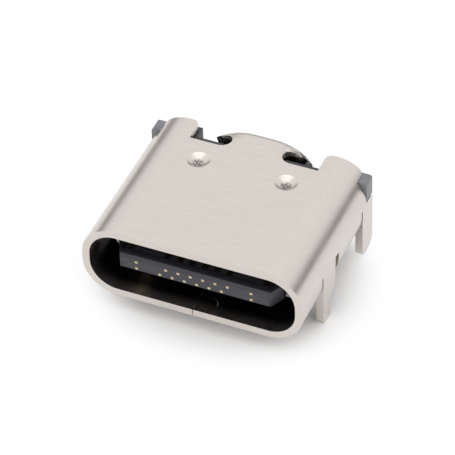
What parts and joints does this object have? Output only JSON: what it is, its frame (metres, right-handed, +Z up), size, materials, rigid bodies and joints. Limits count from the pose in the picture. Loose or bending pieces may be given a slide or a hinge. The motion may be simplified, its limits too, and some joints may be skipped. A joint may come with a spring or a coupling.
{
  "type": "usb-c socket",
  "caption": "Board-mounted reversible data and power socket: a rolled steel shell on board stakes round a moulded tongue with contact rows.",
  "frame": {"origin": "centre of the mouth, in the plane of the shell's front edge", "axes": "+X along the mouth's long side, +Y into the socket, +Z up, away from the board"},
  "size_m": [0.009, 0.0075, 0.0039],
  "materials": {
    "shell_steel": "satin nickel-plated stainless sheet",
    "housing_plastic": "moulded glass-filled plastic, grey-black",
    "plate_steel": "bare stainless strip",
    "contact_gold": "gold-plated copper alloy strip"
  },
  "bodies": {
    "root": {"shell": "shell_steel", "housing": "housing_plastic", "upper_insert": "housing_plastic", "lower_insert": "housing_plastic", "mid_plate": "plate_steel", "contact_a1": "contact_gold", "contact_a4": "contact_gold", "contact_a5": "contact_gold", "contact_a6": "contact_gold", "contact_a7": "contact_gold", "contact_a8": "contact_gold", "contact_a9": "contact_gold", "contact_a12": "contact_gold", "contact_b1": "contact_gold", "contact_b4": "contact_gold", "contact_b5": "contact_gold", "contact_b6": "contact_gold", "contact_b7": "contact_gold", "contact_b8": "contact_gold", "contact_b9": "contact_gold", "contact_b12": "contact_gold"}
  },
  "joints": []
}
